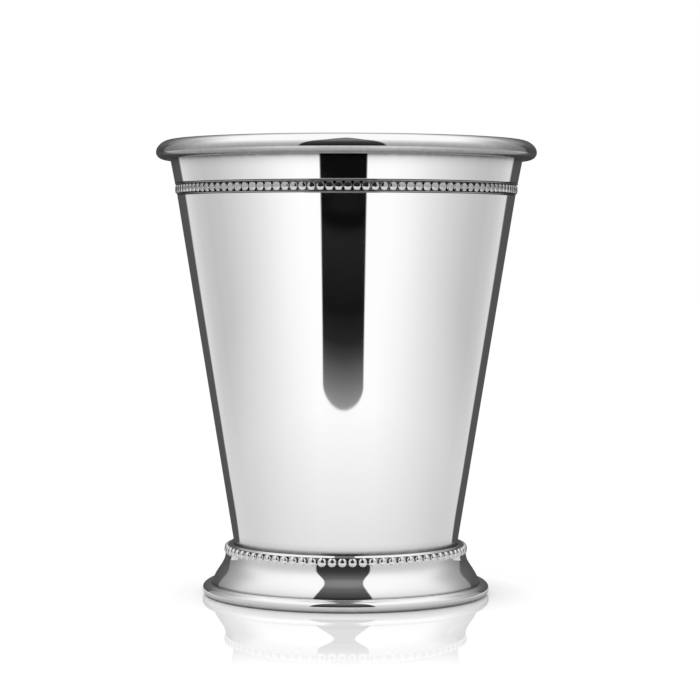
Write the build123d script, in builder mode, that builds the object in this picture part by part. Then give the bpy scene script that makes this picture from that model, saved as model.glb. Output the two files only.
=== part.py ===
from build123d import *
from math import atan, cos, degrees, hypot, pi, sin, sqrt
import os

# Julep cup in polished steel sheet. Lengths are in millimetres, +Z is up, and the origin is the
# centre of the flat ring that the cup stands on. Both rolled edges are closed, so they are solid.

# Whole cup
cup_height = 110.0
rim_diameter = 92.1

# Sheets, and the film of solder left between two pieces
bowl_sheet = 0.8
foot_sheet = 0.8
solder_gap = 0.05

# Bowl: a straight tapered wall on a flat bottom
wall_diameter_at_collar = 54.6
bowl_bottom_height = 5.0
bowl_corner = 3.0

# Rim: the top edge of the bowl, rolled outwards and tucked back against the wall
rim_overhang = 3.8
rim_roll_height = 4.9
rim_crest_drop = 2.6
rim_edge_radius = 1.9
rim_lip = 0.7

# Upper band: a beaded strip with a rail along each edge, laid in a channel rolled into the wall
band_centre_below_top = 11.8
band_strip = 0.2
band_sunk = 0.55
band_rail_width = 0.45
band_rail_proud = 0.1
band_bead_diameter = 1.9
band_bead_gap = 0.157
band_bead_margin = 0.2
band_bead_proud = 0.2

# Foot: a spun shell, with a collar round the wall and a rolled edge that the cup stands on
shoulder_height = 10.2
collar_lip = 0.65
collar_chamfer = 0.4
shoulder_width = 1.98
neck_drop = 1.0
flare_hollow = 0.4
foot_spread = 5.2
foot_roll_height = 3.3
foot_edge_radius = 1.05

# Foot beads: a beaded wire with a flat back, seated on the shoulder against the collar
wire_web = 0.45
wire_bead_diameter = 2.0
wire_bead_gap = 0.361
wire_bead_rise = 1.08

# Braze: a fillet under the shoulder that joins the foot to the wall
braze_leg = 1.2

# Beads: eight steep sides and a low crown
bead_sides = 8
bead_flank_share = 0.6
bead_flank_taper = 18
bead_crown_taper = 58

os.makedirs("parts", exist_ok=True)

# Levels and radii that several pieces share
collar_top = shoulder_height + solder_gap + wire_bead_diameter + collar_lip
crease_height = cup_height - rim_roll_height
rim_radius = rim_diameter / 2
wall_rise = crease_height - collar_top
wall_slope = (rim_radius - rim_overhang - wall_diameter_at_collar / 2) / wall_rise
wall_taper = atan(wall_slope)


def level_run(thickness):
    """Width, measured level, of a layer of this thickness that lies on the sloping wall."""
    return thickness / cos(wall_taper)


def wall_point(height, outwards=0.0):
    """Point of the half-section this far outside the outer face of the wall, measured level."""
    radius = wall_diameter_at_collar / 2 + (height - collar_top) * wall_slope
    return (radius + outwards, height)


# Channel for the upper band, and the sheet's run through the wall
strip_height = band_bead_diameter + 2 * (band_bead_margin + band_rail_width)
band_centre = cup_height - band_centre_below_top
strip_low = band_centre - strip_height / 2
strip_high = band_centre + strip_height / 2
channel_low = strip_low - solder_gap
channel_high = strip_high + solder_gap
strip_face = -level_run(band_sunk)
strip_back = strip_face - level_run(band_strip)
channel_floor = strip_back - level_run(solder_gap)
wall_run = level_run(bowl_sheet)
ridge_run = wall_run - channel_floor
floor_height = bowl_bottom_height + bowl_sheet

# Rim roll: a quarter round underneath, then a tight edge that runs into a flatter top
mouth_radius = wall_point(crease_height, -wall_run)[0]
crest_radius = mouth_radius + rim_lip
widest_height = cup_height - rim_crest_drop
under_radius = widest_height - crease_height
edge_centre = rim_radius - rim_edge_radius
top_reach = edge_centre - crest_radius
top_radius = (top_reach**2 + rim_crest_drop**2 - rim_edge_radius**2) / (
    2 * (rim_crest_drop - rim_edge_radius)
)
edge_share = rim_edge_radius / (top_radius - rim_edge_radius)
edge_meets_top = (
    edge_centre + top_reach * edge_share,
    widest_height + (top_radius - rim_crest_drop) * edge_share,
)

# Bowl: bottom, wall, channel and rim from one sheet
with BuildPart() as bowl:
    with BuildSketch(Plane.XZ):
        with BuildLine():
            Polyline(
                (0, bowl_bottom_height),
                wall_point(bowl_bottom_height),
                wall_point(channel_low),
                wall_point(channel_low, channel_floor),
                wall_point(channel_high, channel_floor),
                wall_point(channel_high),
                wall_point(crease_height),
                (rim_radius - under_radius, crease_height),
            )
            RadiusArc(
                (rim_radius - under_radius, crease_height), (rim_radius, widest_height), -under_radius
            )
            RadiusArc((rim_radius, widest_height), edge_meets_top, -rim_edge_radius)
            RadiusArc(edge_meets_top, (crest_radius, cup_height), -top_radius)
            RadiusArc((crest_radius, cup_height), (mouth_radius, cup_height - rim_lip), -rim_lip)
            Polyline(
                (mouth_radius, cup_height - rim_lip),
                (mouth_radius, crease_height),
                wall_point(channel_high + bowl_sheet, -wall_run),
                wall_point(channel_high, -ridge_run),
                wall_point(channel_low, -ridge_run),
                wall_point(channel_low - bowl_sheet, -wall_run),
                wall_point(floor_height, -wall_run),
                (0, floor_height),
                (0, bowl_bottom_height),
            )
        make_face()
    revolve(axis=Axis.Z)
    outer_corner = bowl.edges().filter_by(GeomType.CIRCLE).sort_by(Axis.Z)[0]
    fillet(outer_corner, bowl_corner)
    inner_corner = bowl.edges().filter_by(GeomType.CIRCLE).filter_by_position(
        Axis.Z, floor_height, floor_height
    )
    fillet(inner_corner, bowl_corner - bowl_sheet)
bowl.part.label = "bowl"
export_step(bowl.part, "parts/bowl.step")


def faceted_bead(diameter, rise):
    """One raised bead standing on the XY plane, with a low crown."""
    with BuildPart() as bead:
        with BuildSketch():
            RegularPolygon(diameter / 2, bead_sides, major_radius=False, rotation=180 / bead_sides)
        extrude(amount=rise * bead_flank_share, taper=bead_flank_taper)
        flank_top = bead.faces().sort_by(Axis.Z)[-1]
        extrude(flank_top, amount=rise * (1 - bead_flank_share), taper=bead_crown_taper)
    return bead.part


# Upper bead band: a flat for each bead, with the two rails stepping out above and below
strip_radius = wall_point(band_centre, strip_face)[0]
band_bead_count = round(2 * pi * strip_radius / (band_bead_diameter + band_bead_gap))
bead_seat = Plane(
    origin=(strip_radius, 0, band_centre),
    x_dir=(0, 1, 0),
    z_dir=(cos(wall_taper), 0, -sin(wall_taper)),
)
band_bead = bead_seat * faceted_bead(band_bead_diameter, band_sunk + band_bead_proud)
rail_face = level_run(band_rail_proud)
band_layers = [
    (strip_low, band_rail_width, rail_face),
    (strip_low + band_rail_width, strip_height - 2 * band_rail_width, strip_face),
    (strip_high - band_rail_width, band_rail_width, rail_face),
]
with BuildPart() as upper_bead_band:
    for low, height, face in band_layers:
        with BuildSketch(Plane.XY.offset(low)):
            RegularPolygon(
                wall_point(low, face)[0],
                band_bead_count,
                major_radius=False,
                rotation=180 / band_bead_count,
            )
        extrude(amount=height, taper=-degrees(wall_taper))
    with BuildSketch(Plane.XZ):
        with BuildLine():
            Polyline(
                (0, strip_low),
                wall_point(strip_low, strip_back),
                wall_point(strip_high, strip_back),
                (0, strip_high),
                close=True,
            )
        make_face()
    revolve(axis=Axis.Z, mode=Mode.SUBTRACT)
    with PolarLocations(0, band_bead_count):
        add(band_bead)
upper_bead_band.part.label = "upper_bead_band"
export_step(upper_bead_band.part, "parts/upper_bead_band.step")

# Foot, from the collar outwards: shoulder, neck, flare and roll
collar_inside = level_run(solder_gap)
collar_outside = collar_inside + level_run(foot_sheet)
neck_radius = wall_point(shoulder_height, collar_outside)[0] + shoulder_width
neck_height = shoulder_height - neck_drop
foot_radius = neck_radius + foot_spread
roll_radius = foot_roll_height / 2
roll_centre = foot_radius - roll_radius
roll_inside = roll_centre - roll_radius
flat_outside = foot_radius - foot_edge_radius
flare_drop = neck_height - foot_roll_height
flare_reach = roll_centre - neck_radius
flare_chord = hypot(flare_drop, flare_reach)
flare_radius = (flare_chord**2 / 4 + flare_hollow**2) / (2 * flare_hollow)
flare_back = (flare_radius - flare_hollow) / flare_chord
flare_centre = (
    (neck_radius + roll_centre) / 2 + flare_drop * flare_back,
    (neck_height + foot_roll_height) / 2 + flare_reach * flare_back,
)
flare_inner_radius = flare_radius + foot_sheet


def flare_inside(radius):
    """Point of the half-section on the inner face of the flare at this radius from the axis."""
    drop = sqrt(flare_inner_radius**2 - (flare_centre[0] - radius) ** 2)
    return (radius, flare_centre[1] - drop)


# Foot: collar, shoulder, neck, flare and rolled edge from one sheet
shoulder_underside = shoulder_height - foot_sheet
with BuildPart() as foot:
    with BuildSketch(Plane.XZ):
        with BuildLine():
            Polyline(
                wall_point(shoulder_underside, collar_inside),
                wall_point(collar_top, collar_inside),
                wall_point(collar_top, collar_outside - collar_chamfer),
                wall_point(collar_top - collar_chamfer, collar_outside),
                wall_point(shoulder_height, collar_outside),
                (neck_radius, shoulder_height),
                (neck_radius, neck_height),
            )
            RadiusArc((neck_radius, neck_height), (roll_centre, foot_roll_height), flare_radius)
            RadiusArc((roll_centre, foot_roll_height), (foot_radius, roll_radius), roll_radius)
            Line((foot_radius, roll_radius), (foot_radius, foot_edge_radius))
            RadiusArc((foot_radius, foot_edge_radius), (flat_outside, 0), foot_edge_radius)
            Polyline(
                (flat_outside, 0),
                (roll_inside + foot_edge_radius, 0),
                (roll_inside, foot_edge_radius),
                flare_inside(roll_inside),
            )
            RadiusArc(
                flare_inside(roll_inside), flare_inside(neck_radius - foot_sheet), -flare_inner_radius
            )
            Polyline(
                flare_inside(neck_radius - foot_sheet),
                (neck_radius - foot_sheet, shoulder_underside),
                wall_point(shoulder_underside, collar_inside),
            )
        make_face()
    revolve(axis=Axis.Z)
foot.part.label = "foot"
export_step(foot.part, "parts/foot.step")

# Foot bead ring: a flat for each bead, on a back that follows the collar
wire_low = shoulder_height + solder_gap
wire_high = wire_low + wire_bead_diameter
wire_middle = (wire_low + wire_high) / 2
wire_back = collar_outside + level_run(solder_gap)
wire_face_radius = wall_point(wire_high, wire_back)[0] + wire_web
wire_bead_count = round(2 * pi * wire_face_radius / (wire_bead_diameter + wire_bead_gap))
wire_seat = Plane(origin=(wire_face_radius, 0, wire_middle), x_dir=(0, 1, 0), z_dir=(1, 0, 0))
wire_bead = wire_seat * faceted_bead(wire_bead_diameter, wire_bead_rise)
with BuildPart() as foot_bead_ring:
    with BuildSketch(Plane.XY.offset(wire_low)):
        RegularPolygon(
            wire_face_radius, wire_bead_count, major_radius=False, rotation=180 / wire_bead_count
        )
    extrude(amount=wire_bead_diameter)
    with BuildSketch(Plane.XZ):
        with BuildLine():
            Polyline(
                (0, wire_low),
                wall_point(wire_low, wire_back),
                wall_point(wire_high, wire_back),
                (0, wire_high),
                close=True,
            )
        make_face()
    revolve(axis=Axis.Z, mode=Mode.SUBTRACT)
    with PolarLocations(0, wire_bead_count):
        add(wire_bead)
foot_bead_ring.part.label = "foot_bead_ring"
export_step(foot_bead_ring.part, "parts/foot_bead_ring.step")

# Foot braze ring: the fillet of filler metal in the corner under the shoulder
with BuildPart() as foot_braze_ring:
    with BuildSketch(Plane.XZ):
        with BuildLine():
            Polyline(
                wall_point(shoulder_underside),
                wall_point(shoulder_underside, braze_leg),
                wall_point(shoulder_underside - braze_leg),
                close=True,
            )
        make_face()
    revolve(axis=Axis.Z)
foot_braze_ring.part.label = "foot_braze_ring"
export_step(foot_braze_ring.part, "parts/foot_braze_ring.step")

print("beads", band_bead_count, wire_bead_count)
print("wall taper", round(degrees(wall_taper), 2), "collar top", round(collar_top, 2))
print("foot diameter", round(2 * foot_radius, 2))
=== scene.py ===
from math import atan2, cos, degrees, hypot, pi, radians, sin, tan

import bmesh
import bpy
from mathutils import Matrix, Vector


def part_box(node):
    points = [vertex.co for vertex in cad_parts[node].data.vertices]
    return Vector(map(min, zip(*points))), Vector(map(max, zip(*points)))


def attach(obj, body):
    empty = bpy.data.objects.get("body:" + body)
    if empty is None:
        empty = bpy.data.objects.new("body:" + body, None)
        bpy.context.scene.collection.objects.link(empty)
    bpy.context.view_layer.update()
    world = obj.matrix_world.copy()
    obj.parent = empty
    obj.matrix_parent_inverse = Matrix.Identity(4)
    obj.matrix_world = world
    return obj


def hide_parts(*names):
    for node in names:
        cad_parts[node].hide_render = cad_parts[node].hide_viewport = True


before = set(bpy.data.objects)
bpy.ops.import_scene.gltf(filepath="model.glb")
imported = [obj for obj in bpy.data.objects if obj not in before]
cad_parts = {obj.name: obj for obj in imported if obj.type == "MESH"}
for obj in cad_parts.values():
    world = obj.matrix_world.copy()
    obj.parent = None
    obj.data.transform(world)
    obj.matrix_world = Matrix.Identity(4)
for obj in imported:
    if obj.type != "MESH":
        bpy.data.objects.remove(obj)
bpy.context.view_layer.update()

# Bowl
# One disc of stainless steel sheet, drawn and spun to a tapered cup with a flat bottom.
# The top edge is rolled outwards over itself, a channel for the beaded strip is rolled in below it,
# and the outside is buffed to a mirror while the inside keeps a fine satin from the lathe.
MM = 0.001
bowl_low, bowl_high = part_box("bowl")
foot_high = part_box("foot")[1]
# The pieces' sizes are in millimetres and angles in degrees. The CAD boxes and the meshes are in metres.
SHEET = 0.8
CUP_TOP = bowl_high.z / MM
RIM_RADIUS = bowl_high.x / MM
BOWL_BOTTOM = bowl_low.z / MM
BOWL_CORNER = 3.0
COLLAR_TOP = foot_high.z / MM
WALL_AT_COLLAR = 27.3
WALL_EASE = 0.35
EASE_FROM = 88.0
RIM_OVERHANG = 3.8
RIM_ROLL_HEIGHT = 4.7
RIM_CREST_DROP = 2.95
RIM_EDGE = 2.3
RIM_LIP = 0.7
RIM_UNDER = 2.2
RIM_GROOVE = 0.35
RIM_GROOVE_WIDTH = 0.14
TURN_UNDER_IN = 0.037
TURN_UNDER_DROP = 0.42
TURN_UNDER_ROUND = 0.04
CHANNEL_LOW, CHANNEL_HIGH = 96.7, 99.7
CHANNEL_DEPTH = 0.811
CHANNEL_ROUND = 0.12
RIDGE_ROUND = 0.5
STEPS_ROUND = 288
SEAM_GAP = 0.002 * MM

CREASE = CUP_TOP - RIM_ROLL_HEIGHT
WALL_SLOPE = (RIM_RADIUS - RIM_OVERHANG - WALL_AT_COLLAR) / (CREASE - COLLAR_TOP)
WALL_TAPER = atan2(WALL_SLOPE, 1)
WALL_RUN = SHEET / cos(WALL_TAPER)


def wall(height, outwards=0.0):
    """Point of the half-section at this height, this far outside the outer face of the wall."""
    eased = WALL_EASE * (max(height - EASE_FROM, 0) / (CREASE - EASE_FROM)) ** 2
    return (WALL_AT_COLLAR + (height - COLLAR_TOP) * WALL_SLOPE + eased + outwards, height)


def run(start, end, steps):
    """Points along a straight line of the half-section, without its last point."""
    return [
        (start[0] + (end[0] - start[0]) * k / steps, start[1] + (end[1] - start[1]) * k / steps)
        for k in range(steps)
    ]


def arc(centre, radius, start, end, steps):
    """Points along an arc of the half-section, between two angles in degrees."""
    turns = [radians(start + (end - start) * k / steps) for k in range(steps + 1)]
    return [(centre[0] + radius * cos(t), centre[1] + radius * sin(t)) for t in turns]


def rounded(before, corner, after, radius, steps=4):
    """Points of a small round in place of a corner, and one on each straight line just beside it."""
    sides = []
    for other in (before, after):
        length = hypot(other[0] - corner[0], other[1] - corner[1])
        share = min(radius / length, 0.45)
        sides.append(
            [
                (corner[0] + (other[0] - corner[0]) * part, corner[1] + (other[1] - corner[1]) * part)
                for part in (share, share * 1.1)
            ]
        )
    points = [sides[0][1]]
    for k in range(steps + 1):
        t = k / steps
        shares = ((1 - t) ** 2, 2 * t * (1 - t), t**2)
        ends = (sides[0][0], corner, sides[1][0])
        points.append(tuple(sum(w * q[i] for w, q in zip(shares, ends)) for i in (0, 1)))
    return points + [sides[1][1]]


def place(tree, kind, values=None, **settings):
    """Adds a node to a tree, sets its properties, and fills or links its inputs."""
    node = tree.nodes.new(kind)
    for name, value in settings.items():
        setattr(node, name, value)
    for name, value in (values or {}).items():
        if isinstance(value, bpy.types.NodeSocket):
            tree.links.new(value, node.inputs[name])
        else:
            node.inputs[name].default_value = value
    return node


def maths(tree, operation, *values):
    """Adds a Math node and returns its output."""
    return place(tree, "ShaderNodeMath", dict(enumerate(values)), operation=operation).outputs[0]


def new_tree(name, kind, inputs, outputs):
    """Starts a node tree with named sockets; returns the tree, its input sockets and its output node."""
    tree = bpy.data.node_groups.new(name, kind)
    for way, sockets in (("INPUT", inputs), ("OUTPUT", outputs)):
        for label, socket, *value in sockets:
            made = tree.interface.new_socket(label, in_out=way, socket_type="NodeSocket" + socket)
            if value:
                made.default_value = value[0]
    return tree, tree.nodes.new("NodeGroupInput").outputs, tree.nodes.new("NodeGroupOutput")


# The tree turns an outline, which is a row of points in the XZ plane, once round the Z axis. The marks
# on the outline's points go with it: the shade mark is how much painted shade darkens a point where shade
# falls, satin how unbuffed.
spun_sheet, given, result = new_tree(
    "spun_sheet",
    "GeometryNodeTree",
    [("Outline", "Geometry"), ("Steps round", "Int", 96), ("Metal", "Material")],
    [("Sheet", "Geometry")],
)
rows = place(spun_sheet, "GeometryNodeAttributeDomainSize", {"Geometry": given["Outline"]})
last_row = maths(spun_sheet, "SUBTRACT", rows.outputs["Point Count"], 1.0)
grid = place(
    spun_sheet,
    "GeometryNodeMeshGrid",
    {
        "Size X": 2 * pi,
        "Size Y": last_row,
        "Vertices X": maths(spun_sheet, "ADD", given["Steps round"], 1.0),
        "Vertices Y": rows.outputs["Point Count"],
    },
)
spot = place(spun_sheet, "GeometryNodeInputPosition").outputs[0]
flat = place(spun_sheet, "ShaderNodeSeparateXYZ", {0: spot})
half_rows = maths(spun_sheet, "MULTIPLY", last_row, 0.5)
row = maths(spun_sheet, "ROUND", maths(spun_sheet, "ADD", flat.outputs["Y"], half_rows))
marked = grid.outputs["Mesh"]
for mark in ("painted_shade", "satin"):
    on_outline = place(spun_sheet, "GeometryNodeInputNamedAttribute", {"Name": mark}, data_type="FLOAT")
    carried = place(
        spun_sheet,
        "GeometryNodeSampleIndex",
        {"Geometry": given["Outline"], "Value": on_outline.outputs["Attribute"], "Index": row},
        data_type="FLOAT",
    )
    stored = place(
        spun_sheet,
        "GeometryNodeStoreNamedAttribute",
        {"Geometry": marked, "Name": mark, "Value": carried.outputs[0]},
        data_type="FLOAT",
        domain="POINT",
    )
    marked = stored.outputs["Geometry"]
section = place(
    spun_sheet,
    "GeometryNodeSampleIndex",
    {"Geometry": given["Outline"], "Value": spot, "Index": row},
    data_type="FLOAT_VECTOR",
)
half = place(spun_sheet, "ShaderNodeSeparateXYZ", {0: section.outputs[0]})
cosine, sine = [maths(spun_sheet, way, flat.outputs["X"]) for way in ("COSINE", "SINE")]
turned = place(
    spun_sheet,
    "ShaderNodeCombineXYZ",
    {
        "X": maths(spun_sheet, "MULTIPLY", half.outputs["X"], cosine),
        "Y": maths(spun_sheet, "MULTIPLY", half.outputs["X"], sine),
        "Z": half.outputs["Z"],
    },
)
spun = place(spun_sheet, "GeometryNodeSetPosition", {"Geometry": marked, "Position": turned.outputs[0]})
closed = place(
    spun_sheet, "GeometryNodeMergeByDistance", {"Geometry": spun.outputs[0], "Distance": SEAM_GAP}
)
real = place(spun_sheet, "GeometryNodeRealizeInstances", {"Geometry": closed.outputs[0]})
smooth = place(spun_sheet, "GeometryNodeSetShadeSmooth", {"Geometry": real.outputs[0]})
coated = place(
    spun_sheet, "GeometryNodeSetMaterial", {"Geometry": smooth.outputs[0], "Material": given["Metal"]}
)
spun_sheet.links.new(coated.outputs[0], result.inputs["Sheet"])


def outline_object(name, points):
    """An object whose mesh is a row of outline points: radius, height, and then painted shade and satin
    marks.
    """
    mesh = bpy.data.meshes.new(name)
    mesh.from_pydata([(p[0] * MM, 0, p[1] * MM) for p in points], [], [])
    for place_in_row, mark in ((2, "painted_shade"), (3, "satin")):
        values = mesh.attributes.new(mark, "FLOAT", "POINT")
        values.data.foreach_set("value", [p[place_in_row] for p in points])
    piece = bpy.data.objects.new(name, mesh)
    bpy.context.collection.objects.link(piece)
    return piece


def run_tree(piece, tree, values, crease=35):
    """Runs a tree on an outline object and keeps the result as the object's own plain mesh."""
    modifier = piece.modifiers.new(tree.name, "NODES")
    modifier.node_group = tree
    for item in tree.interface.items_tree:
        if item.in_out == "INPUT" and item.name in values:
            modifier[item.identifier] = values[item.name]
    made = bpy.data.meshes.new_from_object(piece.evaluated_get(bpy.context.evaluated_depsgraph_get()))
    piece.modifiers.remove(modifier)
    outline = piece.data
    piece.data = made
    made.name = piece.name
    bpy.data.meshes.remove(outline)
    shape = bmesh.new()
    shape.from_mesh(made)
    bmesh.ops.recalc_face_normals(shape, faces=shape.faces)
    shape.to_mesh(made)
    shape.free()
    made.set_sharp_from_angle(angle=radians(crease))


def tag(points, painted_shade=0.0, satin=0.0):
    """Outline points with the same marks on each."""
    return [(p[0], p[1], painted_shade, satin) for p in points]


# Fine marks of the buffing wheel: rings round the axis, short hairlines and faint cloudy smudges.
RING_SCALE = 9000.0
RING_WANDER = 1.5
SMUDGE_SHARE, HAIRLINE_SHARE = 0.7, 0.3
SATIN_LEAST, SATIN_SPREAD = 0.7, 0.6
RINGS_LEFT_ON_MIRROR = 0.06
polish_marks, given, result = new_tree(
    "polish_marks",
    "ShaderNodeTree",
    [
        ("Smoothest", "Float", 0.02),
        ("Roughest", "Float", 0.08),
        ("Satin roughness", "Float", 0.22),
        ("Ring strength", "Float", 0.2),
    ],
    [("Roughness", "Float"), ("Height", "Float")],
)
spot = place(polish_marks, "ShaderNodeTexCoord").outputs["Object"]
split = place(polish_marks, "ShaderNodeSeparateXYZ", {0: spot})
from_axis = maths(
    polish_marks,
    "SQRT",
    maths(
        polish_marks,
        "ADD",
        maths(polish_marks, "MULTIPLY", split.outputs["X"], split.outputs["X"]),
        maths(polish_marks, "MULTIPLY", split.outputs["Y"], split.outputs["Y"]),
    ),
)
turn = maths(polish_marks, "ARCTAN2", split.outputs["Y"], split.outputs["X"])
ring_spot = place(
    polish_marks,
    "ShaderNodeCombineXYZ",
    {
        "X": maths(polish_marks, "MULTIPLY", from_axis, RING_SCALE),
        "Y": maths(polish_marks, "MULTIPLY", split.outputs["Z"], RING_SCALE),
        "Z": maths(polish_marks, "MULTIPLY", turn, RING_WANDER),
    },
)
rings = place(
    polish_marks,
    "ShaderNodeTexNoise",
    {"Vector": ring_spot.outputs[0], "Scale": 1.0, "Detail": 3.0, "Roughness": 0.6},
)
clouds = place(
    polish_marks, "ShaderNodeTexNoise", {"Vector": spot, "Scale": 38.0, "Detail": 4.0, "Roughness": 0.55}
)
hair_turn = place(
    polish_marks,
    "ShaderNodeMapping",
    {"Vector": spot, "Rotation": (0.7, 0.4, 1.1), "Scale": (260.0, 5200.0, 420.0)},
)
hairs = place(
    polish_marks,
    "ShaderNodeTexNoise",
    {"Vector": hair_turn.outputs[0], "Scale": 1.0, "Detail": 1.0, "Roughness": 0.4},
)
hair_mask = place(
    polish_marks,
    "ShaderNodeMapRange",
    {"Value": hairs.outputs[0], "From Min": 0.66, "From Max": 0.74, "To Min": 0.0, "To Max": 1.0},
)
cloud_mask = place(
    polish_marks,
    "ShaderNodeMapRange",
    {"Value": clouds.outputs[0], "From Min": 0.35, "From Max": 0.75, "To Min": 0.0, "To Max": 1.0},
)
wear = maths(
    polish_marks,
    "ADD",
    maths(polish_marks, "MULTIPLY", cloud_mask.outputs[0], SMUDGE_SHARE),
    maths(polish_marks, "MULTIPLY", hair_mask.outputs[0], HAIRLINE_SHARE),
)
buffed = place(
    polish_marks,
    "ShaderNodeMapRange",
    {"Value": wear, "To Min": given["Smoothest"], "To Max": given["Roughest"]},
)
satin = place(polish_marks, "ShaderNodeAttribute", attribute_name="satin").outputs["Fac"]
streaks = maths(polish_marks, "MULTIPLY", rings.outputs[0], SATIN_SPREAD)
streaks = maths(polish_marks, "ADD", SATIN_LEAST, streaks)
brushed = maths(polish_marks, "MULTIPLY", given["Satin roughness"], streaks)
finish = place(
    polish_marks,
    "ShaderNodeMix",
    {"Factor": satin, "A": buffed.outputs[0], "B": brushed},
    data_type="FLOAT",
)
polish_marks.links.new(finish.outputs["Result"], result.inputs["Roughness"])
ring_height = maths(
    polish_marks,
    "MULTIPLY",
    maths(polish_marks, "MULTIPLY", rings.outputs[0], given["Ring strength"]),
    maths(polish_marks, "ADD", RINGS_LEFT_ON_MIRROR, satin),
)
polish_marks.links.new(ring_height, result.inputs["Height"])

# Painted shade: the steel's colour is darkened, patchily along the marks, in crevices and joints, under the
# rim and along the edge the foot stands on, where shade falls; on the rim's edge the same darkening is a
# painted reflection.
painted_crevice_shade, given, result = new_tree(
    "painted_crevice_shade",
    "ShaderNodeTree",
    [
        ("Clean", "Color", (0.95, 0.95, 0.95, 1)),
        ("Film", "Color", (0.2, 0.2, 0.2, 1)),
        ("Amount", "Float", 1.0),
    ],
    [("Color", "Color")],
)
spot = place(painted_crevice_shade, "ShaderNodeTexCoord").outputs["Object"]
patches = place(
    painted_crevice_shade, "ShaderNodeTexNoise", {"Vector": spot, "Scale": 700.0, "Detail": 3.0, "Roughness": 0.6}
)
patchy = place(
    painted_crevice_shade,
    "ShaderNodeMapRange",
    {"Value": patches.outputs[0], "From Min": 0.3, "From Max": 0.7, "To Min": 0.85, "To Max": 1.0},
)
painted_shade = place(painted_crevice_shade, "ShaderNodeAttribute", attribute_name="painted_shade").outputs["Fac"]
painted_shade_mask = maths(
    painted_crevice_shade,
    "MULTIPLY",
    maths(painted_crevice_shade, "MULTIPLY", painted_shade, patchy.outputs[0]),
    given["Amount"],
)
shade_painted_colour = place(
    painted_crevice_shade,
    "ShaderNodeMix",
    {"Factor": painted_shade_mask, "A": given["Clean"], "B": given["Film"]},
    data_type="RGBA",
)
painted_crevice_shade.links.new(shade_painted_colour.outputs["Result"], result.inputs["Color"])


def steel(name, clean, shade_colour, amount, smoothest, roughest, satin, rings, bump):
    """A polished steel finish with its own buffing marks and painted shade in its crevices."""
    material = bpy.data.materials.new(name)
    material.use_nodes = True
    tree = material.node_tree
    shader = tree.nodes["Principled BSDF"]
    shader.inputs["Metallic"].default_value = 1.0
    colours = place(
        tree, "ShaderNodeGroup", {"Clean": clean, "Film": shade_colour, "Amount": amount}, node_tree=painted_crevice_shade
    )
    marks = place(
        tree,
        "ShaderNodeGroup",
        {
            "Smoothest": smoothest,
            "Roughest": roughest,
            "Satin roughness": satin,
            "Ring strength": rings,
        },
        node_tree=polish_marks,
    )
    raised = place(
        tree, "ShaderNodeBump", {"Height": marks.outputs["Height"], "Strength": bump, "Distance": 0.01 * MM}
    )
    tree.links.new(colours.outputs["Color"], shader.inputs["Base Color"])
    tree.links.new(marks.outputs["Roughness"], shader.inputs["Roughness"])
    tree.links.new(raised.outputs["Normal"], shader.inputs["Normal"])
    return material


polished_steel = steel(
    "polished_steel",
    clean=(0.955, 0.955, 0.958, 1),
    shade_colour=(0.16, 0.16, 0.165, 1),
    amount=0.85,
    smoothest=0.03,
    roughest=0.05,
    satin=0.24,
    rings=1.0,
    bump=0.35,
)

mouth = wall(CREASE, -WALL_RUN)[0]
crest = mouth + RIM_LIP
widest = CUP_TOP - RIM_CREST_DROP
under = widest - CREASE
edge_centre = RIM_RADIUS - RIM_EDGE
top_reach = edge_centre - crest
top_radius = (top_reach**2 + RIM_CREST_DROP**2 - RIM_EDGE**2) / (2 * (RIM_CREST_DROP - RIM_EDGE))
edge_turn = degrees(atan2(top_radius - RIM_CREST_DROP, top_reach))
groove_floor = wall(CREASE + RIM_GROOVE)
floor_top = BOWL_BOTTOM + SHEET
outer_corner = wall(BOWL_BOTTOM)
inner_corner = wall(floor_top, -WALL_RUN)
ridge = WALL_RUN + CHANNEL_DEPTH

# Painted shade in the corner above the collar: height over the collar, then the shade and satin marks.
COLLAR_SHADE_AND_SATIN = [(-0.2, 1.1, 1), (0.05, 1.0, 1), (0.3, 0.75, 1), (0.6, 0.4, 0.4), (0.9, 0.2, 0)]
# Painted shade below the rim, where the rim overhangs: depth under the crease, then the shade mark.
CREASE_SHADE = [
    (2.4, 0.04),
    (1.6, 0.14),
    (1.2, 0.25),
    (0.8, 0.38),
    (0.55, 0.6),
    (0.3, 0.85),
    (0.1, 1.1),
    (0.0, 1.2),
]
# Painted reflection on the rim's edge, which greys it: its shade mark, and the angles above the widest ring
# at which it fades.
EDGE_PAINTED_REFLECTION = 0.62
EDGE_REFLECTION_FROM, EDGE_REFLECTION_TO = 15, 40
EDGE_STEPS = 9
UNDER_STEPS = 12
# Painted shade in the groove where the rim meets the wall.
GROOVE_SHADE = 1.25

# The outline goes from the middle of the bottom up the outside, over the rim and down the inside.
# Its marks paint shade above the collar, in the channel, under the rim and in the groove, and grey the
# rim's edge.
bowl_outline = tag(run((0, BOWL_BOTTOM), (outer_corner[0] - BOWL_CORNER, BOWL_BOTTOM), 5), 0.0, 1.0)
bowl_outline += tag(
    rounded((0, BOWL_BOTTOM), outer_corner, wall(COLLAR_TOP), BOWL_CORNER, 8), 0.0, 1.0
)
bowl_outline += tag(run(wall(COLLAR_TOP - 1.5), wall(COLLAR_TOP - 0.2), 2), 1.1, 1.0)
for above, painted_shade, satin in COLLAR_SHADE_AND_SATIN:
    bowl_outline += tag([wall(COLLAR_TOP + above)], painted_shade, satin)
bowl_outline += tag(run(wall(COLLAR_TOP + 2), wall(CHANNEL_LOW - 0.3), 24))
channel_foot = wall(CHANNEL_LOW, -CHANNEL_DEPTH)
channel_head = wall(CHANNEL_HIGH, -CHANNEL_DEPTH)
bowl_outline += tag(rounded(wall(CHANNEL_LOW - 1), wall(CHANNEL_LOW), channel_foot, CHANNEL_ROUND))
bowl_outline += tag([channel_foot, channel_head], 1.0)
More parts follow.
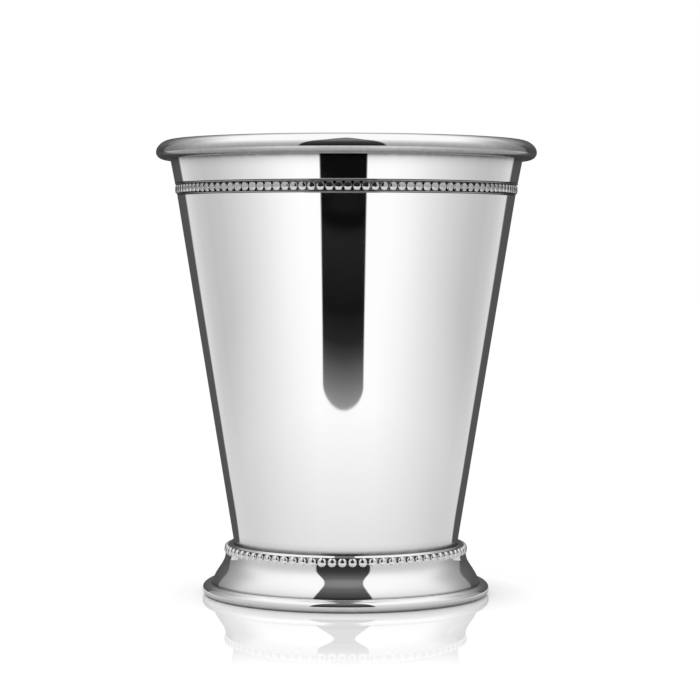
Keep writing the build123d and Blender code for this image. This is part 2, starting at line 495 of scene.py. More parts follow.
bowl_outline += tag(rounded(channel_head, wall(CHANNEL_HIGH), wall(CHANNEL_HIGH + 1), CHANNEL_ROUND))
bowl_outline += tag(run(wall(CHANNEL_HIGH + 0.4), wall(CREASE - 2.4), 3))
for below, painted_shade in CREASE_SHADE:
    bowl_outline += tag([wall(CREASE - below)], painted_shade)
groove_end = groove_floor[0] + RIM_GROOVE_WIDTH
bowl_outline += tag([groove_floor, (groove_end, CREASE + RIM_GROOVE)], GROOVE_SHADE)
bowl_outline += tag([(groove_end + 0.2, CREASE + 0.1)], GROOVE_SHADE)
# Painted shade on the rim's underside, darkest at the crease.
for k in range(10):
    turn = radians(-90 + 90 * k / UNDER_STEPS)
    point = (RIM_RADIUS - RIM_UNDER + RIM_UNDER * cos(turn), widest + under * sin(turn))
    bowl_outline += tag([point], 0.5 + 0.85 * (1 - k / UNDER_STEPS) ** 0.9, 1.0)
turn_under = (RIM_RADIUS - TURN_UNDER_IN, widest - TURN_UNDER_DROP)
bowl_outline += tag(rounded(point, turn_under, (RIM_RADIUS, widest), TURN_UNDER_ROUND), 0.55, 0.3)
edge = arc((edge_centre, widest), RIM_EDGE, 0, edge_turn, EDGE_STEPS)[:-1]
for k, point in enumerate(edge):
    above_widest = edge_turn * k / EDGE_STEPS
    faded = (above_widest - EDGE_REFLECTION_FROM) / (EDGE_REFLECTION_TO - EDGE_REFLECTION_FROM)
    bowl_outline += tag([point], EDGE_PAINTED_REFLECTION * (1 - min(max(faded, 0), 1)))
bowl_outline += tag(arc((crest, CUP_TOP - top_radius), top_radius, edge_turn, 90, 10)[:-1])
bowl_outline += tag(arc((crest, CUP_TOP - RIM_LIP), RIM_LIP, 90, 180, 6))
ridge_corners = [
    wall(CREASE, -WALL_RUN),
    wall(CHANNEL_HIGH + SHEET, -WALL_RUN),
    wall(CHANNEL_HIGH, -ridge),
    wall(CHANNEL_LOW, -ridge),
    wall(CHANNEL_LOW - SHEET, -WALL_RUN),
    inner_corner,
]
bowl_outline += tag(run((mouth, CREASE + 0.6), ridge_corners[1], 3), 0.0, 0.6)
for before, corner, after in zip(ridge_corners, ridge_corners[1:], ridge_corners[2:]):
    bowl_outline += tag(rounded(before, corner, after, RIDGE_ROUND), 0.0, 0.8)
bowl_outline += tag(
    run(wall(CHANNEL_LOW - 3, -WALL_RUN), wall(BOWL_BOTTOM + 6, -WALL_RUN), 20), 0.0, 1.0
)
bowl_outline += tag(
    rounded(wall(COLLAR_TOP, -WALL_RUN), inner_corner, (0, floor_top), BOWL_CORNER - SHEET, 8), 0.0, 1.0
)
bowl_outline += tag(run((20.0, floor_top), (0, floor_top), 4), 0.0, 1.0)
bowl_outline += tag([(0, floor_top)], 0.0, 1.0)

bowl = outline_object("bowl_shell", bowl_outline)
run_tree(bowl, spun_sheet, {"Steps round": STEPS_ROUND, "Metal": polished_steel})
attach(bowl, "root")
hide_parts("bowl")

# Beaded strip
# A thin strip of steel with a row of beads embossed between two narrow rails, bent to a hoop and
# soft-soldered into the channel below the rim. A wheel embosses the beads, so they are nearly alike.
STRIP_LOW, STRIP_HIGH = 96.75, 99.65
STRIP_BACK = -0.76
STRIP_FACE = -0.557
# Painted shade on the strip's back and ends, and round each rail from its feet to its top.
STRIP_SHADE = 0.9
RAIL_WIDTH = 0.36
RAIL_PROUD = 0.1
RAIL_SHADE = (0.9, 0.5, 0.45, 0.4, 0.45, 0.6, 1)
BAND_BEADS = 124
BAND_BEAD_WIDTH = 2.0
BAND_BEAD_HEIGHT = 2.1
BAND_BEAD_PROUD = 0.2
BAND_SQUARENESS = 3.2
BAND_FLATNESS = 5.0
BAND_TURN = 0.54
BAND_SEED = 3
BEAD_SEGMENTS, BEAD_RINGS = 10, 9
BEAD_LIFT = 0.45
# How far out of the strip the painted shade at each bead's foot reaches.
BEAD_SHADE_REACH = 0.55
BEAD_LEAST, BEAD_MOST = 0.97, 1.02

# The tree spins the strip and seats a row of beads on it. Each bead is a ball squared off to a cushion,
# with its pole pointing out of the strip and most of its rings on that side, and its foot gets painted
# shade, darkest where it meets the strip.
beaded_ring, given, result = new_tree(
    "beaded_ring",
    "GeometryNodeTree",
    [
        ("Outline", "Geometry"),
        ("Steps round", "Int", 96),
        ("Metal", "Material"),
        ("Beads", "Int", 24),
        ("Ring radius", "Float", 0.04),
        ("Ring height", "Float", 0.1),
        ("Turn", "Float", 0.0),
        ("Bead rise", "Float", 0.001),
        ("Bead width", "Float", 0.002),
        ("Bead height", "Float", 0.002),
        ("Squareness", "Float", 2.0),
        ("Flatness", "Float", 2.0),
        ("Lean", "Float", 0.0),
        ("Seed", "Int", 1),
    ],
    [("Ring", "Geometry")],
)
backing = place(
    beaded_ring,
    "GeometryNodeGroup",
    {label: given[label] for label in ("Outline", "Steps round", "Metal")},
    node_tree=spun_sheet,
)
ball = place(
    beaded_ring,
    "GeometryNodeMeshUVSphere",
    {"Segments": BEAD_SEGMENTS, "Rings": BEAD_RINGS, "Radius": 1.0},
)
spot = place(beaded_ring, "GeometryNodeInputPosition").outputs[0]
lifted = place(
    beaded_ring, "ShaderNodeVectorMath", {0: spot, 1: (0, 0, BEAD_LIFT)}, operation="ADD"
).outputs[0]
out_of_strip = place(beaded_ring, "ShaderNodeSeparateXYZ", {0: lifted})
bead_foot_shade = place(
    beaded_ring,
    "ShaderNodeMapRange",
    {
        "Value": out_of_strip.outputs["Z"],
        "From Min": 0.0,
        "From Max": BEAD_SHADE_REACH,
        "To Min": 1.0,
        "To Max": 0.0,
    },
)
marked_ball = place(
    beaded_ring,
    "GeometryNodeStoreNamedAttribute",
    {"Geometry": ball.outputs["Mesh"], "Name": "painted_shade", "Value": bead_foot_shade.outputs[0]},
    data_type="FLOAT",
    domain="POINT",
)


def norm(first, second, power):
    """Length of two sides by the given power, which is 2 for a round and more for a squarer shape."""
    lengths = [maths(beaded_ring, "ABSOLUTE", side) for side in (first, second)]
    powers = [maths(beaded_ring, "POWER", length, power) for length in lengths]
    total = maths(beaded_ring, "ADD", *powers)
    return maths(beaded_ring, "POWER", total, maths(beaded_ring, "DIVIDE", 1.0, power))


across = norm(out_of_strip.outputs["X"], out_of_strip.outputs["Y"], given["Squareness"])
reach = norm(across, out_of_strip.outputs["Z"], given["Flatness"])
squared = place(
    beaded_ring,
    "ShaderNodeVectorMath",
    {0: lifted, "Scale": maths(beaded_ring, "DIVIDE", 1.0, reach)},
    operation="SCALE",
)
cushion = place(
    beaded_ring,
    "GeometryNodeSetPosition",
    {"Geometry": marked_ball.outputs["Geometry"], "Position": squared.outputs[0]},
)
bead_size = place(
    beaded_ring,
    "ShaderNodeCombineXYZ",
    {
        "X": maths(beaded_ring, "MULTIPLY", given["Bead height"], 0.5),
        "Y": maths(beaded_ring, "MULTIPLY", given["Bead width"], 0.5),
        "Z": given["Bead rise"],
    },
)
bead = place(
    beaded_ring,
    "GeometryNodeTransform",
    {"Geometry": cushion.outputs["Geometry"], "Scale": bead_size.outputs[0]},
)
hoop = place(
    beaded_ring,
    "GeometryNodeMeshCircle",
    {"Vertices": given["Beads"], "Radius": given["Ring radius"]},
)
level = place(beaded_ring, "ShaderNodeCombineXYZ", {"Z": given["Ring height"]})
turned = place(beaded_ring, "ShaderNodeCombineXYZ", {"Z": given["Turn"]})
seats = place(
    beaded_ring,
    "GeometryNodeTransform",
    {"Geometry": hoop.outputs["Mesh"], "Translation": level.outputs[0], "Rotation": turned.outputs[0]},
)
seat = place(beaded_ring, "ShaderNodeSeparateXYZ", {0: spot})
facing = place(
    beaded_ring,
    "ShaderNodeCombineXYZ",
    {
        "Y": maths(beaded_ring, "ADD", given["Lean"], pi / 2),
        "Z": maths(beaded_ring, "ARCTAN2", seat.outputs["Y"], seat.outputs["X"]),
    },
)
# The node has a pair of sockets for each kind of number, so the float pair is set by its place.
uneven = place(
    beaded_ring,
    "FunctionNodeRandomValue",
    {2: BEAD_LEAST, 3: BEAD_MOST, "Seed": given["Seed"]},
    data_type="FLOAT",
)
beads = place(
    beaded_ring,
    "GeometryNodeInstanceOnPoints",
    {
        "Points": seats.outputs[0],
        "Instance": bead.outputs[0],
        "Rotation": facing.outputs[0],
        "Scale": uneven.outputs[1],
    },
)
row_of_beads = place(beaded_ring, "GeometryNodeRealizeInstances", {"Geometry": beads.outputs[0]})
joined = place(beaded_ring, "GeometryNodeJoinGeometry")
beaded_ring.links.new(row_of_beads.outputs[0], joined.inputs[0])
beaded_ring.links.new(backing.outputs[0], joined.inputs[0])
smooth = place(beaded_ring, "GeometryNodeSetShadeSmooth", {"Geometry": joined.outputs[0]})
coated = place(
    beaded_ring, "GeometryNodeSetMaterial", {"Geometry": smooth.outputs[0], "Material": given["Metal"]}
)
beaded_ring.links.new(coated.outputs[0], result.inputs["Ring"])

# The strip's steel is the bowl's steel made darker, which paints shade over the band, with darker painted
# shade in its crevices.
shaded_strip_steel = steel(
    "shaded_strip_steel",
    clean=(0.66, 0.66, 0.665, 1),
    shade_colour=(0.05, 0.05, 0.052, 1),
    amount=1.0,
    smoothest=0.03,
    roughest=0.1,
    satin=0.24,
    rings=0.5,
    bump=0.2,
)


def rail(low, high):
    """Points of a narrow rounded rail on the strip, from its lower to its upper foot."""
    middle = (low + high) / 2
    points = []
    for k in range(7):
        turn = radians(-90 + 30 * k)
        rise = (RAIL_PROUD - STRIP_FACE) * cos(turn) ** 0.5 if abs(k - 3) < 3 else 0.0
        points.append(wall(middle + (high - low) / 2 * sin(turn), STRIP_FACE + rise))
    return points


band_height = (STRIP_LOW + STRIP_HIGH) / 2
# Painted shade on the strip's back, round its rails, and darkest on its face between the beads.
strip_outline = tag([wall(STRIP_LOW, STRIP_BACK), wall(STRIP_LOW, STRIP_FACE)], STRIP_SHADE)
for point, painted_shade in zip(rail(STRIP_LOW, STRIP_LOW + RAIL_WIDTH), RAIL_SHADE):
    strip_outline += tag([point], painted_shade)
strip_outline += tag([wall(band_height, STRIP_FACE)], 1.0)
for point, painted_shade in zip(rail(STRIP_HIGH - RAIL_WIDTH, STRIP_HIGH), RAIL_SHADE[::-1]):
    strip_outline += tag([point], painted_shade)
strip_outline += tag([wall(STRIP_HIGH, STRIP_FACE), wall(STRIP_HIGH, STRIP_BACK)], STRIP_SHADE)
strip_outline += tag([wall(STRIP_LOW, STRIP_BACK)], STRIP_SHADE)

strip = outline_object("beaded_strip", strip_outline)
run_tree(
    strip,
    beaded_ring,
    {
        "Steps round": STEPS_ROUND,
        "Metal": shaded_strip_steel,
        "Beads": BAND_BEADS,
        "Ring radius": wall(band_height, STRIP_FACE)[0] * MM,
        "Ring height": band_height * MM,
        "Turn": radians(BAND_TURN),
        "Bead rise": (BAND_BEAD_PROUD - STRIP_FACE) * MM,
        "Bead width": BAND_BEAD_WIDTH * MM,
        "Bead height": BAND_BEAD_HEIGHT * MM,
        "Squareness": BAND_SQUARENESS,
        "Flatness": BAND_FLATNESS,
        "Lean": 0.0,
        "Seed": BAND_SEED,
    },
)
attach(strip, "root")
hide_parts("upper_bead_band")

# Foot
# A hollow ring spun from one sheet of steel: a collar that grips the wall, a shoulder for the beaded
# wire, a hollow flare, and an edge rolled under that the cup stands on. It is buffed like the bowl.
SHOULDER = 9.75
COLLAR_GAP = 0.05
FOOT_RADIUS = foot_high.x / MM
SHOULDER_RADIUS = FOOT_RADIUS - 6.15
ROLL_INSIDE = FOOT_RADIUS - 3.3
EDGE_RADIUS = 1.4
COLLAR_IN = COLLAR_GAP / cos(WALL_TAPER)
COLLAR_OUT = COLLAR_IN + WALL_RUN
WIRE_TOP = COLLAR_TOP - 1.0
LIP_TOP = (28.15, COLLAR_TOP - 0.35)
LIP_EDGE = (28.6, WIRE_TOP + 0.15)
LIP_ROUND = 0.08

# The flare's outer face by its lean from upright at each height: nearly upright behind the beads, then
# hollow, and steep again above the ledge of the rolled edge.
NECK_TOP = (29.14, 10.75)
FLARE_LEAN = [
    (10.75, 8),
    (9.7, 8),
    (9.07, 12),
    (8.6, 18),
    (8.17, 24),
    (7.57, 30),
    (6.98, 33.4),
    (6.37, 34.2),
    (5.93, 33.6),
    (5.55, 32.2),
    (4.57, 27.2),
    (3.76, 20.5),
    (3.17, 13),
    (2.6, 8),
]
FLARE_STEP = 0.15
# The ledge on top of the rolled edge, from the groove at the flare's foot out to the rounded edge.
LEDGE = [
    (32.5, 2.78),
    (32.85, 2.92),
    (33.2, 3.0),
    (33.45, 2.99),
    (33.7, 2.94),
    (33.9, 2.85),
    (34.1, 2.73),
    (34.3, 2.58),
]
EDGE_ROUND = 1.45
EDGE_START = 43


def lean_at(height):
    """Lean of the flare in degrees at this height, straight between the heights in the table."""
    for (high, before), (low, after) in zip(FLARE_LEAN, FLARE_LEAN[1:]):
        if height >= low:
            return before + (after - before) * (high - height) / (high - low)
    return FLARE_LEAN[-1][1]


flare = [NECK_TOP]
while flare[-1][1] > LEDGE[0][1] + 0.2:
    radius, height = flare[-1]
    lean = radians(lean_at(height - FLARE_STEP / 2))
    flare.append((radius + FLARE_STEP * tan(lean), height - FLARE_STEP))


def smooth_run(points, steps):
    """Points of a smooth curve through the given points, with this many steps between each two."""
    curve = []
    for k in range(len(points) - 1):
        ring = [points[max(k - 1, 0)], points[k], points[k + 1], points[min(k + 2, len(points) - 1)]]
        for j in range(steps):
            t = j / steps
            shares = (
                -0.5 * t**3 + t**2 - 0.5 * t,
                1.5 * t**3 - 2.5 * t**2 + 1,
                -1.5 * t**3 + 2 * t**2 + 0.5 * t,
                0.5 * t**3 - 0.5 * t**2,
            )
            curve.append(tuple(sum(w * q[i] for w, q in zip(shares, ring)) for i in (0, 1)))
    return curve + [points[-1]]


# The outline goes up inside the collar, over its lip, down the outside and back up the hollow inside.
neck_radius, neck_height = NECK_TOP
ledge = smooth_run(LEDGE, 3)
# The marks paint shade inside the collar, under the lip, on the shoulder, round the neck and at the flare's
# foot.
foot_outline = tag([wall(SHOULDER - SHEET, COLLAR_IN), wall(COLLAR_TOP - 0.8, COLLAR_IN)], 0.9, 1.0)
foot_outline += tag([wall(COLLAR_TOP - 0.5, COLLAR_IN)], 0.6)
foot_outline += tag(rounded(wall(COLLAR_TOP - 0.4, COLLAR_IN), LIP_TOP, LIP_EDGE, LIP_ROUND), 0.2)
foot_outline += tag(rounded(LIP_TOP, LIP_EDGE, wall(WIRE_TOP, COLLAR_OUT), LIP_ROUND))
foot_outline += tag([wall(WIRE_TOP, COLLAR_OUT)], 0.8)
foot_outline += tag([wall(SHOULDER, COLLAR_OUT), (SHOULDER_RADIUS, SHOULDER)], 1.0)
foot_outline += tag([(neck_radius - 0.2, neck_height - 0.2), (neck_radius - 0.14, neck_height - 0.03)], 0.9)
foot_outline += tag([(neck_radius - 0.06, neck_height)], 0.5)
foot_outline += tag(flare[1:-3])
foot_outline += tag(flare[-3:-1], 0.5)
foot_outline += tag([flare[-1], LEDGE[0]], 1.1)
foot_outline += tag(ledge[1:3], 0.6, 0.6)
foot_outline += tag(ledge[3:-1], 0.1, 0.6)
foot_outline += tag(arc((FOOT_RADIUS - EDGE_ROUND, EDGE_RADIUS), EDGE_ROUND, EDGE_START, 0, 10)[:-1])
# Painted shadow along the edge that stands on the floor, darkening towards the bottom.
for k, point in enumerate(arc((FOOT_RADIUS - EDGE_RADIUS, EDGE_RADIUS), EDGE_RADIUS, 0, -90, 8)):
    foot_outline += tag([point], 0.3 + 0.65 * k / 8)
foot_outline += tag([(ROLL_INSIDE + EDGE_RADIUS, 0.0), (ROLL_INSIDE + 0.3, 0.3)], 0.0, 0.8)
foot_outline += tag([(ROLL_INSIDE, EDGE_RADIUS), (ROLL_INSIDE, 2.8)], 0.0, 0.8)
foot_outline += tag([(r - SHEET, z - 0.3) for r, z in flare[-6:10:-3]], 0.0, 1.0)
foot_outline += tag([(neck_radius - SHEET, SHOULDER - SHEET)], 0.4, 1.0)
foot_outline += tag([wall(SHOULDER - SHEET, COLLAR_IN)], 0.4, 1.0)

foot = outline_object("foot_shell", foot_outline)
run_tree(foot, spun_sheet, {"Steps round": STEPS_ROUND, "Metal": polished_steel})
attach(foot, "root")
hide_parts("foot")

# Beaded wire
# A half-round wire embossed with a row of round beads, bent to a ring on the shoulder of the foot and
# soft-soldered there against the collar.
WIRE_LOW, WIRE_HIGH = 9.8, WIRE_TOP
WIRE_BACK = COLLAR_OUT + COLLAR_GAP
WIRE_WEB = 0.45
WIRE_BEADS = 76
WIRE_BEAD_WIDTH = 2.24
WIRE_BEAD_HEIGHT = 2.24
WIRE_BEAD_RISE = 1.08
WIRE_BEAD_RAISED = 0.18
WIRE_SQUARENESS = 2.1
WIRE_FLATNESS = 3.2
WIRE_LEAN = -5
WIRE_TURN = -1.48
WIRE_SEED = 8
SMALL_RING_STEPS = 228

# The wire's steel is the bowl's steel made darker, which paints shade over its beads.
beaded_steel = steel(
    "beaded_steel",
    clean=(0.84, 0.84, 0.845, 1),
    shade_colour=(0.05, 0.05, 0.052, 1),
    amount=1.0,
    smoothest=0.03,
    roughest=0.1,
    satin=0.24,
    rings=0.5,
    bump=0.2,
)
wire_face = wall(WIRE_HIGH, WIRE_BACK)[0] + WIRE_WEB
wire_middle = (WIRE_LOW + WIRE_HIGH) / 2 + WIRE_BEAD_RAISED
# A light painted shade over the whole wire under its beads.
wire_outline = tag(
    [
        wall(WIRE_LOW, WIRE_BACK),
        (wire_face + 0.15, WIRE_LOW),
        (wire_face + 0.1, WIRE_LOW + 0.3),
        (wire_face - 0.1, WIRE_HIGH - 0.3),
        (wire_face - 0.15, WIRE_HIGH),
        wall(WIRE_HIGH, WIRE_BACK),
        wall(WIRE_LOW, WIRE_BACK),
    ],
    0.3,
)
wire = outline_object("beaded_wire", wire_outline)
run_tree(
    wire,
    beaded_ring,
    {
        "Steps round": SMALL_RING_STEPS,
        "Metal": beaded_steel,
        "Beads": WIRE_BEADS,
        "Ring radius": wire_face * MM,
        "Ring height": wire_middle * MM,
        "Turn": radians(WIRE_TURN),
        "Bead rise": WIRE_BEAD_RISE * MM,
        "Bead width": WIRE_BEAD_WIDTH * MM,
        "Bead height": WIRE_BEAD_HEIGHT * MM,
        "Squareness": WIRE_SQUARENESS,
        "Flatness": WIRE_FLATNESS,
        "Lean": radians(WIRE_LEAN),
        "Seed": WIRE_SEED,
    },
)
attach(wire, "root")
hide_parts("foot_bead_ring")

# Braze fillet
# The ring of filler metal that was melted into the corner between the wall and the shoulder, under the
# foot. It holds the foot on, and it froze in a slightly lumpy, hollow curve.
BRAZE_LEG = 1.2
BRAZE_HOLLOW = 0.35
BRAZE_GAP = 0.02
HEAT_COLOURS = [(0.35, (0.52, 0.44, 0.31, 1)), (0.65, (0.74, 0.68, 0.56, 1))]
braze_top = SHOULDER - SHEET
braze_filler = bpy.data.materials.new("braze_filler")
braze_filler.use_nodes = True
tree = braze_filler.node_tree
shader = tree.nodes["Principled BSDF"]
shader.inputs["Metallic"].default_value = 1.0
spot = place(tree, "ShaderNodeTexCoord").outputs["Object"]
ripples = place(
    tree, "ShaderNodeTexNoise", {"Vector": spot, "Scale": 420.0, "Detail": 4.0, "Roughness": 0.6}
)
heat = place(tree, "ShaderNodeTexNoise", {"Vector": spot, "Scale": 90.0, "Detail": 2.0, "Roughness": 0.5})
colours = place(tree, "ShaderNodeValToRGB", {"Fac": heat.outputs[0]})
for element, (position, colour) in zip(colours.color_ramp.elements, HEAT_COLOURS):
    element.position = position
    element.color = colour
dullness = place(
    tree,
    "ShaderNodeMapRange",
    {"Value": ripples.outputs[0], "From Min": 0.3, "From Max": 0.7, "To Min": 0.3, "To Max": 0.55},
)
bumps = place(
    tree, "ShaderNodeBump", {"Height": ripples.outputs[0], "Strength": 0.4, "Distance": 0.1 * MM}
)
tree.links.new(colours.outputs["Color"], shader.inputs["Base Color"])
tree.links.new(dullness.outputs[0], shader.inputs["Roughness"])
tree.links.new(bumps.outputs["Normal"], shader.inputs["Normal"])

braze_corner = wall(braze_top, BRAZE_GAP)
braze_out = wall(braze_top, BRAZE_LEG)
braze_foot = wall(braze_top - BRAZE_LEG, BRAZE_GAP)
braze_outline = tag([braze_corner, braze_out], 0.3)
braze_outline += tag(
    rounded(braze_out, wall(braze_top - BRAZE_HOLLOW, BRAZE_HOLLOW), braze_foot, BRAZE_LEG, 6)
)
braze_outline += tag([braze_foot, braze_corner], 0.3)
braze = outline_object("braze_fillet", braze_outline)
run_tree(braze, spun_sheet, {"Steps round": SMALL_RING_STEPS, "Metal": braze_filler})
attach(braze, "root")
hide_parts("foot_braze_ring")

# Camera
# Level with the upper wall and a long way off, so the rim and the foot show as shallow curves.
CAMERA_TILT = 2.44
CAMERA_ROLL = -0.107
camera_data = bpy.data.cameras.new("camera")
camera_data.lens = 123.74
camera_data.sensor_width = 36.0
camera = bpy.data.objects.new("camera", camera_data)
camera.location = (0.0009, -0.585, 0.08422)
camera.rotation_euler = (radians(90 - CAMERA_TILT), radians(CAMERA_ROLL), 0)
bpy.context.collection.objects.link(camera)
bpy.context.scene.camera = camera

# Studio
# A white room and a white floor. What the bright metal mirrors is darker in places, as dark boards round
# a studio table make it: a dark opening in front, grey sides, and dark behind at both edges.
bpy.context.scene.view_settings.view_transform = "Standard"


def brightness(tree, value, stops):
    """A ramp from a value between 0 and 1 through rows of value and level; returns the level."""
    ramp = place(tree, "ShaderNodeValToRGB", {"Fac": value})
    while len(ramp.color_ramp.elements) < len(stops):
        ramp.color_ramp.elements.new(1.0)
    for element, (position, level) in zip(ramp.color_ramp.elements, stops):
        element.position = position
        element.color = (level, level, level, 1)
    return ramp.outputs["Color"]


def round_about(tree, spot, aside=0.0):
    """0 in front of the cup, 1 behind it, the same on both sides; aside turns the front to the left."""
    split = place(tree, "ShaderNodeSeparateXYZ", {0: spot})
    ahead = maths(tree, "MULTIPLY", split.outputs["Y"], -1.0)
    turn = maths(tree, "ADD", maths(tree, "ARCTAN2", split.outputs["X"], ahead), radians(aside))
    return split, maths(tree, "DIVIDE", maths(tree, "ABSOLUTE", turn), pi)


def mixed(tree, share, low, high):
    """Mixes two levels and returns the result."""
    values = {"Factor": share, "A": low, "B": high}
    return place(tree, "ShaderNodeMix", values, data_type="FLOAT").outputs["Result"]


def between(tree, value, start, end):
    """0 at the start value, 1 at the end value, and straight between them."""
    values = {"Value": value, "From Min": start, "From Max": end}
    return place(tree, "ShaderNodeMapRange", values).outputs[0]


# Turns are shares of half a turn from the front, heights go from 0 at the horizon to 1 overhead, and
# the studio's distances are in metres.
OPENING_HALF = 25.5 / 180
OPENING_ASIDE = 2.4
OPENING_BLUR = 0.004
OPENING_OVERHEAD = 0.2
BACK_FROM, BACK_TO = 0.765, 0.785
ROOM_LIGHT = 0.85
world = bpy.data.worlds.new("white_room")
bpy.context.scene.world = world
world.use_nodes = True
tree = world.node_tree
split, turn = round_about(tree, place(tree, "ShaderNodeTexCoord").outputs["Generated"], OPENING_ASIDE)
height = split.outputs["Z"]
rays = place(tree, "ShaderNodeLightPath")
opening = brightness(
    tree, height, [(0.0, 0.02), (0.34, 0.045), (0.64, 0.08), (0.8, 0.13), (0.87, 0.24), (0.9, 1.0)]
)
sides = brightness(
    tree, height, [(0.0, 0.55), (0.15, 0.62), (0.3, 0.7), (0.5, 0.82), (0.65, 0.92), (0.8, 1.0)]
)
shade = brightness(
    tree,
    turn,
    [
        (0.5, 1.0),
        (0.55, 0.94),
        (0.586, 0.85),
        (0.621, 0.73),
        (0.659, 0.62),
        (0.698, 0.53),
        (0.75, 0.46),
    ],
)
shade = mixed(tree, between(tree, height, 0.6, 0.8), shade, 1.0)
sides = maths(tree, "MULTIPLY", sides, shade)
back = brightness(tree, height, [(0.0, 0.08), (0.3, 0.12), (0.5, 0.35), (0.75, 1.0)])
mirrored = mixed(tree, between(tree, turn, BACK_FROM, BACK_TO), sides, back)
in_front = between(tree, turn, OPENING_HALF + OPENING_BLUR, OPENING_HALF - OPENING_BLUR)
# In the cup's own mirror image on the floor, the opening is dark overhead too.
second_bounce = between(tree, rays.outputs["Ray Depth"], 1.2, 1.8)
twice = maths(tree, "MULTIPLY", second_bounce, between(tree, height, 0.86, 0.89))
opening = mixed(tree, twice, opening, OPENING_OVERHEAD)
mirrored = mixed(tree, in_front, mirrored, opening)
# The floor's gloss is the only perfect mirror here, and behind the cup it shows plain white.
mirrored = mixed(tree, rays.outputs["Is Singular Ray"], mirrored, 1.0)
unmirrored = mixed(tree, rays.outputs["Is Camera Ray"], ROOM_LIGHT, 1.0)
room = mixed(tree, rays.outputs["Is Glossy Ray"], unmirrored, mirrored)
tree.nodes["Background"].inputs["Color"].default_value = (1, 1, 1, 1)
tree.links.new(room, tree.nodes["Background"].inputs["Strength"])

# The wall leans outwards, so it mirrors the floor. The floor's colour as the metal alone sees it is a
# painted
# reflection: a dark runner painted in front of the cup makes the dark stripe down the middle of the wall.
RUNNER_NEAR = -0.1464
RUNNER_FAR = -0.335
RUNNER_END = -0.37
RUNNER_ASIDE = -0.006
RUNNER_LEAN = 0.024
RUNNER_NEAR_HALF = 0.0398
RUNNER_SPREAD = 0.252
RUNNER_ROUND = 0.014
RUNNER_FADE = 0.01
FAR_OFF, HALF_WAY, CLOSE_BY = 0.3, 0.15, 0.06
DARK_FROM, DARK_TO = 0.765, 0.78
DARK_LEVEL = 0.085
WHITE_STRENGTH = 1.04
WHITE_TO_CAMERA, WHITE_TO_METAL = 0.85, 0.7
SHADOW_NEAR, SHADOW_FAR = 0.0335, 0.046
GLOSS = 0.34
GLOSS_NEAR, GLOSS_FAR = 0.075, 0.108
GLOSS_FROM_ABOVE, GLOSS_FROM_ASIDE = 0.1, 0.845
white_floor = bpy.data.materials.new("white_floor")
white_floor.use_nodes = True
tree = white_floor.node_tree
tree.nodes.remove(tree.nodes["Principled BSDF"])
spot = place(tree, "ShaderNodeTexCoord").outputs["Object"]
split, turn = round_about(tree, spot)
# Painted reflection: the grey that the metal sees on the floor, by its turn from the front: far off, half
# way and close by.
sides = brightness(
    tree,
    turn,
    [
        (0.16, 1.0),
        (0.23, 0.935),
        (0.31, 0.805),
        (0.39, 0.695),
        (0.45, 0.625),
        (0.515, 0.56),
        (0.59, 0.535),
        (0.67, 0.585),
        (0.75, 0.7),
    ],
)
middle = brightness(
    tree,
    turn,
    [
        (0.12, 1.0),
        (0.173, 0.95),
        (0.222, 0.905),
        (0.273, 0.855),
        (0.326, 0.8),
        (0.38, 0.755),
        (0.438, 0.71),
        (0.5, 0.675),
        (0.57, 0.635),
        (0.67, 0.65),
        (0.76, 0.7),
    ],
)
near_by = brightness(
    tree,
    turn,
    [
        (0.1, 0.8),
        (0.2, 0.775),
        (0.26, 0.76),
        (0.33, 0.725),
        (0.39, 0.69),
        (0.46, 0.655),
        (0.54, 0.65),
        (0.63, 0.675),
        (0.75, 0.7),
    ],
)
from_axis = place(tree, "ShaderNodeVectorMath", {0: spot}, operation="LENGTH").outputs["Value"]
sides = mixed(tree, between(tree, from_axis, FAR_OFF, HALF_WAY), sides, middle)
sides = mixed(tree, between(tree, from_axis, HALF_WAY, CLOSE_BY), sides, near_by)
# Painted reflection: behind the cup the floor is dark for the metal, and close to the cup the dark reaches
# further round its sides.
further = brightness(
    tree,
    from_axis,
    [
        (0.07, 0.105),
        (0.09, 0.092),
        (0.122, 0.068),
        (0.16, 0.047),
        (0.215, 0.034),
        (0.3, 0.021),
        (0.41, 0.012),
        (0.6, 0.003),
        (0.9, 0.0),
    ],
)
further.node.color_ramp.interpolation = "B_SPLINE"
behind = between(tree, maths(tree, "ADD", turn, further), DARK_FROM, DARK_TO)
sides = mixed(tree, behind, sides, DARK_LEVEL)
ahead = maths(tree, "SUBTRACT", RUNNER_NEAR, split.outputs["Y"])
spread = maths(tree, "MULTIPLY", maths(tree, "MAXIMUM", ahead, 0.0), RUNNER_SPREAD)
half_width = maths(tree, "ADD", RUNNER_NEAR_HALF, spread)
aside = maths(tree, "SUBTRACT", RUNNER_ASIDE, maths(tree, "MULTIPLY", ahead, RUNNER_LEAN))
offset = maths(tree, "SUBTRACT", split.outputs["X"], aside)
across = maths(tree, "DIVIDE", maths(tree, "ABSOLUTE", offset), half_width)
rounding = maths(tree, "SUBTRACT", 1.0, maths(tree, "DIVIDE", ahead, RUNNER_ROUND))
rounding = maths(tree, "MAXIMUM", rounding, 0.0)
squares = [maths(tree, "MULTIPLY", side, side) for side in (across, rounding)]
from_middle = maths(tree, "SQRT", maths(tree, "ADD", *squares))
short_of_end = between(tree, split.outputs["Y"], RUNNER_END - RUNNER_FADE, RUNNER_END)
on_painted_runner = maths(tree, "MULTIPLY", between(tree, from_middle, 1.03, 0.97), short_of_end)
along = between(tree, split.outputs["Y"], RUNNER_NEAR, RUNNER_FAR)
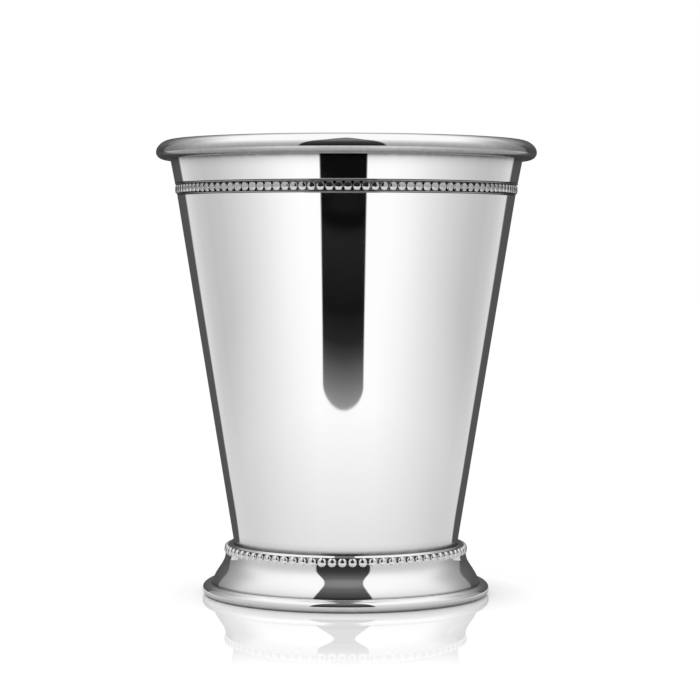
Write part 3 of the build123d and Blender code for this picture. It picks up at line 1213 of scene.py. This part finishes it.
painted_runner = brightness(
    tree,
    along,
    [
        (0.0, 0.29),
        (0.05, 0.23),
        (0.104, 0.155),
        (0.16, 0.1),
        (0.215, 0.05),
        (0.279, 0.02),
        (0.43, 0.008),
        (0.78, 0.016),
        (0.85, 0.012),
        (0.885, 0.004),
        (0.955, 0.004),
        (0.985, 0.009),
    ],
)
mirrored = mixed(tree, on_painted_runner, sides, painted_runner)
rays = place(tree, "ShaderNodeLightPath")
# Only the metal's glossy rays see these painted greys; to all else the floor is white.
level = mixed(tree, rays.outputs["Is Glossy Ray"], 1.0, mirrored)
lit = place(tree, "ShaderNodeBsdfDiffuse", {"Color": level})
white = place(tree, "ShaderNodeEmission", {"Color": level, "Strength": WHITE_STRENGTH})
# Away from the foot the floor is mostly plain white, and close to it the cup's shadow stays.
clear = between(tree, from_axis, SHADOW_NEAR, SHADOW_FAR)
to_camera = maths(tree, "MULTIPLY", rays.outputs["Is Camera Ray"], WHITE_TO_CAMERA)
to_metal = maths(tree, "MULTIPLY", rays.outputs["Is Glossy Ray"], WHITE_TO_METAL)
share = maths(tree, "MULTIPLY", clear, maths(tree, "ADD", to_camera, to_metal))
base = place(tree, "ShaderNodeMixShader", {0: share, 1: lit.outputs[0], 2: white.outputs[0]})
# Round the foot the floor has a gloss, strong where it is seen at a low angle and gone from above.
gloss = place(tree, "ShaderNodeBsdfGlossy", {"Color": (1, 1, 1, 1), "Roughness": 0.0})
polish = maths(tree, "MULTIPLY", between(tree, from_axis, GLOSS_FAR, GLOSS_NEAR), GLOSS)
polish = maths(tree, "MULTIPLY", polish, rays.outputs["Is Camera Ray"])
grazing = place(tree, "ShaderNodeLayerWeight", {"Blend": 0.5}).outputs["Facing"]
polish = maths(tree, "MULTIPLY", polish, between(tree, grazing, GLOSS_FROM_ABOVE, GLOSS_FROM_ASIDE))
sheen = place(tree, "ShaderNodeMixShader", {0: polish, 1: base.outputs[0], 2: gloss.outputs[0]})
# Seen from below, the floor is clear, so that the underside of the cup can be looked at.
below = place(tree, "ShaderNodeNewGeometry").outputs["Backfacing"]
see_through = place(tree, "ShaderNodeBsdfTransparent")
surface = place(tree, "ShaderNodeMixShader", {0: below, 1: sheen.outputs[0], 2: see_through.outputs[0]})
tree.links.new(surface.outputs[0], tree.nodes["Material Output"].inputs["Surface"])

FLOOR_HALF = 3.0
floor_mesh = bpy.data.meshes.new("floor")
corners = [(x * FLOOR_HALF, y * FLOOR_HALF, 0) for x, y in ((-1, -1), (1, -1), (1, 1), (-1, 1))]
floor_mesh.from_pydata(corners, [], [(0, 1, 2, 3)])
floor_mesh.materials.append(white_floor)
floor = bpy.data.objects.new("floor", floor_mesh)
bpy.context.collection.objects.link(floor)

# A soft lamp above the front on the left, which the metal doesn't mirror.
key_data = bpy.data.lights.new("soft_key", "AREA")
key_data.shape = "DISK"
key_data.size = 0.9
key_data.energy = 4.0
key = bpy.data.objects.new("soft_key", key_data)
key.location = (-0.5, -0.3, 1.3)
key.rotation_euler = (radians(14), radians(-20), 0)
key.visible_glossy = False
bpy.context.collection.objects.link(key)
